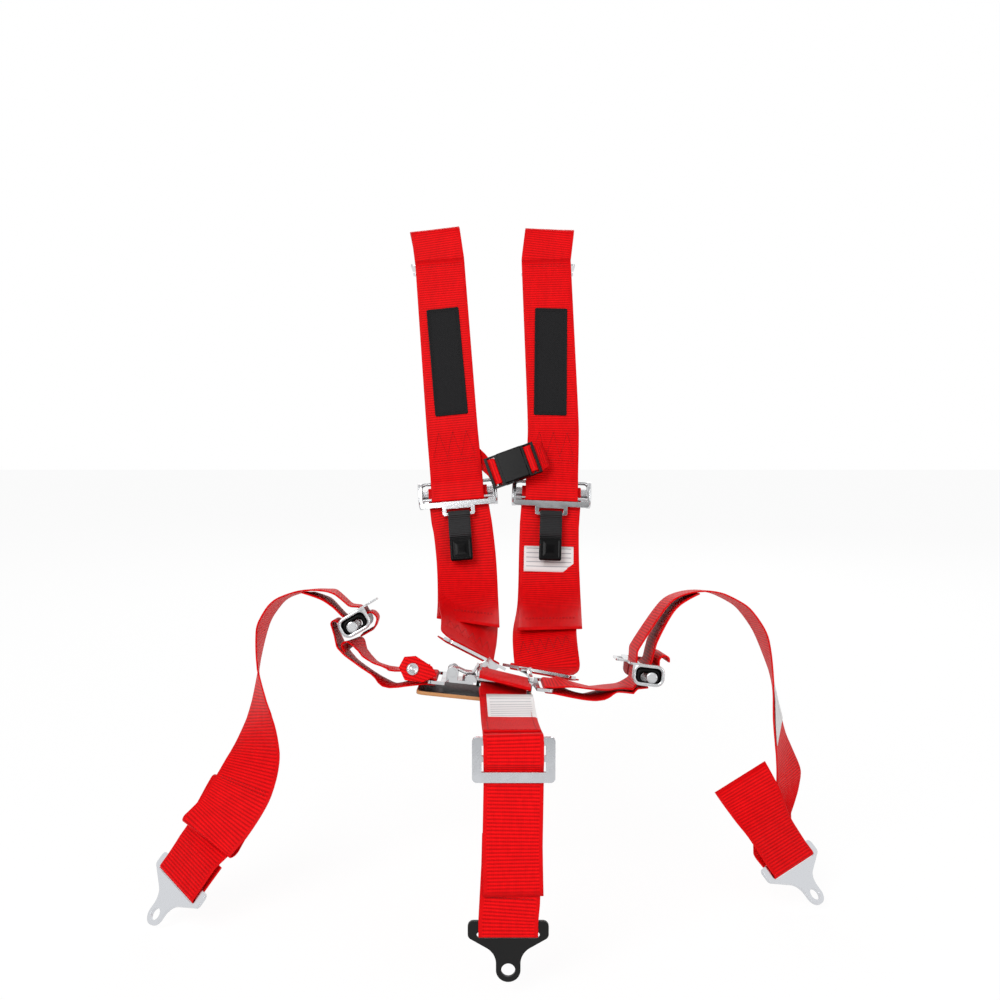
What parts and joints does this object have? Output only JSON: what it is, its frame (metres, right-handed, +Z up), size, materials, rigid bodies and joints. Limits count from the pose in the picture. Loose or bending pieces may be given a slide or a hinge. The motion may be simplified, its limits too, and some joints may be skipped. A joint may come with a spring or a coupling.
{
  "type": "racing harness",
  "caption": "Bolt-in racing harness worn over shoulders, lap and crotch, with bar adjusters, pull tabs, a chest strap buckle and a central lever latch.",
  "frame": {"origin": "centre of the bolt hole in the crotch strap's anchor plate", "axes": "+X to the right and -Y towards the viewer, as seen from in front of the harness; +Z up; the shoulder straps run back along +Y"},
  "size_m": [0.6714, 0.9577, 0.7163],
  "materials": {
    "red_webbing": "fine crosswise rib with a smooth selvedge",
    "hardware_chrome": "bright plated pressed steel",
    "knurled_steel": "plated, straight ribs",
    "satin_steel": "satin zinc plate",
    "black_steel": "semi-gloss black",
    "black_webbing": "narrow woven tape",
    "black_patch": "embroidered patch",
    "white_label": "printed satin label",
    "black_plastic": "moulded acetal",
    "black_leather": "grained, tan cut edge"
  },
  "bodies": {
    "harness": {"shoulder_left_adjuster_frame": "hardware_chrome", "shoulder_left_upper_webbing": "red_webbing", "shoulder_left_rear_slide": "hardware_chrome", "shoulder_left_rear_anchor_plate": "satin_steel", "shoulder_left_lower_webbing": "red_webbing", "shoulder_left_link_tip": "satin_steel", "shoulder_left_patch": "black_patch", "lap_left_adjuster_frame": "hardware_chrome", "lap_left_anchor_plate": "satin_steel", "lap_left_outer_webbing": "red_webbing", "lap_left_inner_webbing": "red_webbing", "shoulder_right_adjuster_frame": "hardware_chrome", "shoulder_right_upper_webbing": "red_webbing", "shoulder_right_rear_slide": "hardware_chrome", "shoulder_right_rear_anchor_plate": "satin_steel", "shoulder_right_lower_webbing": "red_webbing", "shoulder_right_link_tip": "satin_steel", "shoulder_right_patch": "black_patch", "lap_right_adjuster_frame": "hardware_chrome", "lap_right_anchor_plate": "satin_steel", "lap_right_outer_webbing": "red_webbing", "lap_right_inner_webbing": "red_webbing", "shoulder_right_label": "white_label", "lap_right_label": "white_label", "lap_left_snap_tab": "red_webbing", "lap_left_snap_cap": "hardware_chrome", "crotch_anchor_plate": "black_steel", "crotch_slide": "satin_steel", "crotch_webbing": "red_webbing", "crotch_anchor_webbing": "red_webbing", "crotch_top_ply": "red_webbing", "crotch_label": "white_label", "sternum_buckle_socket": "black_plastic", "sternum_buckle_plug": "black_plastic", "sternum_left_web": "red_webbing", "sternum_right_web": "red_webbing", "latch_plate": "satin_steel", "latch_link_plate": "satin_steel", "latch_pivot_pin": "satin_steel", "latch_spring": "satin_steel", "latch_backing_pad": "black_leather"},
    "left_shoulder_slide_bar": {"shoulder_left_adjuster_slide_bar": "knurled_steel"},
    "left_pull_tab": {"shoulder_left_pull_tab_strap": "black_webbing", "shoulder_left_pull_tab_end": "black_plastic"},
    "right_shoulder_slide_bar": {"shoulder_right_adjuster_slide_bar": "knurled_steel"},
    "right_pull_tab": {"shoulder_right_pull_tab_strap": "black_webbing", "shoulder_right_pull_tab_end": "black_plastic"},
    "left_lap_slide_bar": {"lap_left_adjuster_slide_bar": "knurled_steel"},
    "right_lap_slide_bar": {"lap_right_adjuster_slide_bar": "knurled_steel"},
    "latch_lever": {"latch_lever": "satin_steel"},
    "upper_prong": {"sternum_buckle_upper_prong": "black_plastic"},
    "lower_prong": {"sternum_buckle_lower_prong": "black_plastic"}
  },
  "joints": [
    {"name": "left_shoulder_bar_slide", "type": "slide", "parent": "harness", "child": "left_shoulder_slide_bar", "axis": [-0.0744, 0.4215, 0.9038], "range_m": [-0.007, 0]},
    {"name": "left_pull_tab_lift", "type": "hinge", "parent": "harness", "child": "left_pull_tab", "pos_m": [-0.05522, 0.42055, 0.3444], "axis": [-0.9966, 0, -0.082], "range_deg": [0, 60]},
    {"name": "right_shoulder_bar_slide", "type": "slide", "parent": "harness", "child": "right_shoulder_slide_bar", "axis": [0.0381, 0.4225, 0.9055], "range_m": [-0.007, 0]},
    {"name": "right_pull_tab_lift", "type": "hinge", "parent": "harness", "child": "right_pull_tab", "pos_m": [0.05309, 0.42053, 0.34437], "axis": [-0.9991, 0, 0.042], "range_deg": [0, 60]},
    {"name": "left_lap_bar_slide", "type": "slide", "parent": "harness", "child": "left_lap_slide_bar", "axis": [-0.8589, -0.141, -0.4924], "range_m": [-0.007, 0]},
    {"name": "right_lap_bar_slide", "type": "slide", "parent": "harness", "child": "right_lap_slide_bar", "axis": [0.9929, -0.0167, -0.118], "range_m": [-0.007, 0]},
    {"name": "latch_lever_lift", "type": "hinge", "parent": "harness", "child": "latch_lever", "pos_m": [-0.05301, 0.17097, 0.21803], "axis": [0.0127, -0.9926, 0.1207], "range_deg": [0, 100], "stiffness_Nm_per_rad": 0.02, "springref_deg": -34.38},
    {"name": "upper_prong_squeeze", "type": "hinge", "parent": "harness", "child": "upper_prong", "pos_m": [0.01732, 0.43269, 0.4186], "axis": [-0.1305, -0.9243, 0.3587], "range_deg": [0, 6], "stiffness_Nm_per_rad": 0.3},
    {"name": "lower_prong_squeeze", "type": "hinge", "parent": "harness", "child": "lower_prong", "pos_m": [0.02673, 0.42131, 0.39272], "axis": [0.1305, 0.9243, -0.3587], "range_deg": [0, 6], "stiffness_Nm_per_rad": 0.3}
  ],
  "couplings": [
    {"joint": "lower_prong_squeeze", "follows": "upper_prong_squeeze", "ratio": 1}
  ]
}
